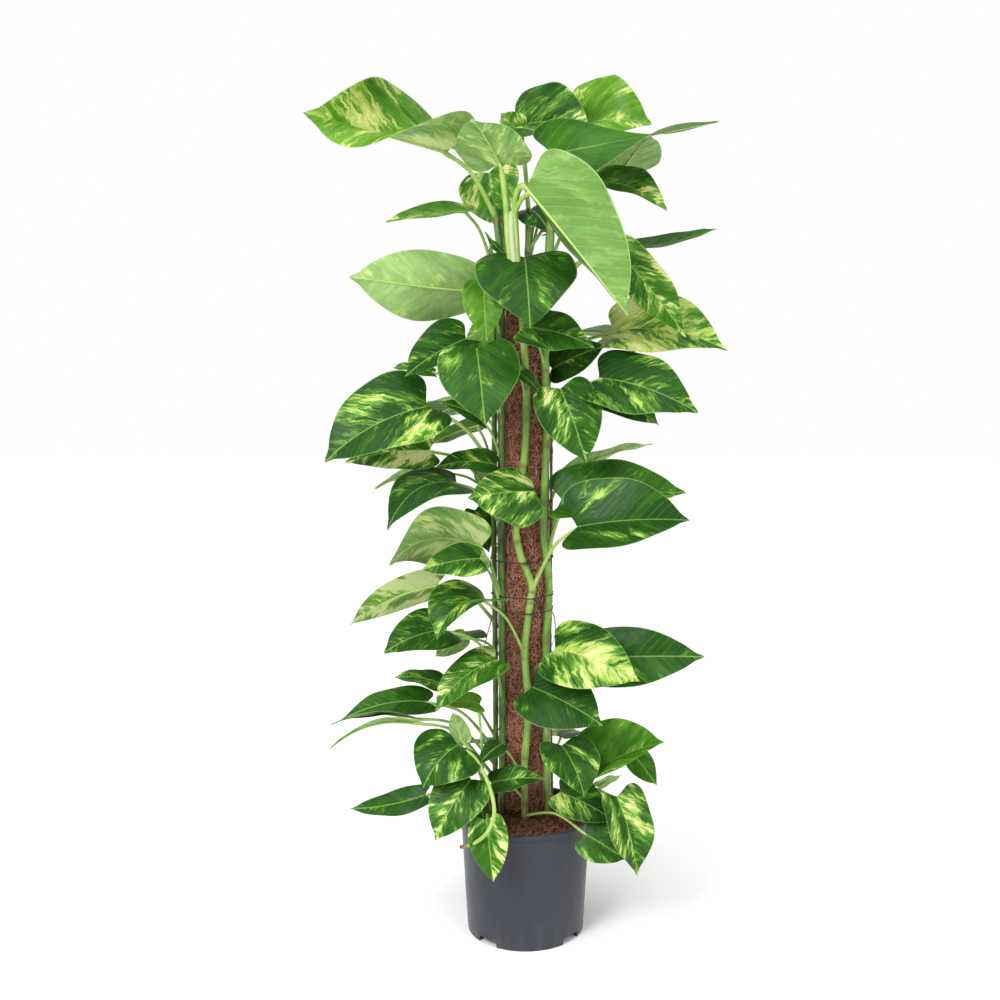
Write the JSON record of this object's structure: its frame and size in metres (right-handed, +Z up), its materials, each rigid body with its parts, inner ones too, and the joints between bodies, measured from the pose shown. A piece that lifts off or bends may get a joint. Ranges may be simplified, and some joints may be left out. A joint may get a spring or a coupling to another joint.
{
  "type": "variegated golden pothos on a coir pole in a nursery pot",
  "caption": "Tall climbing houseplant with heart-shaped, cream-streaked leaves on a brown coir pole, standing in a round dark nursery pot of soil.",
  "frame": {"origin": "centre of the pot's foot, on the surface it stands on", "axes": "+Z up along the pot and the pole, -Y the front, the side with the most leaves"},
  "size_m": [0.5412, 0.3516, 1.1783],
  "materials": {
    "leaf": "satin, waxy",
    "old_stem": "dry bark",
    "tie": "dark plastic-coated wire",
    "pot": "satin anthracite",
    "core": "raw wood",
    "coir": "matted coconut fibre",
    "soil": "loose coir and peat"
  },
  "bodies": {
    "root": {"stem_left": "leaf", "stem_left_rear": "leaf", "stem_rear_left": "leaf", "stem_front": "leaf", "stem_right": "leaf", "stem_rear_right": "leaf", "stem_rear": "leaf", "shoot_left": "leaf", "shoot_right": "leaf", "old_stem": "old_stem", "tie_1": "tie", "tie_2": "tie", "tie_3": "tie", "tie_4": "tie", "pot": "pot", "pole_core": "core", "coir_sleeve": "coir", "soil": "soil"}
  },
  "joints": []
}
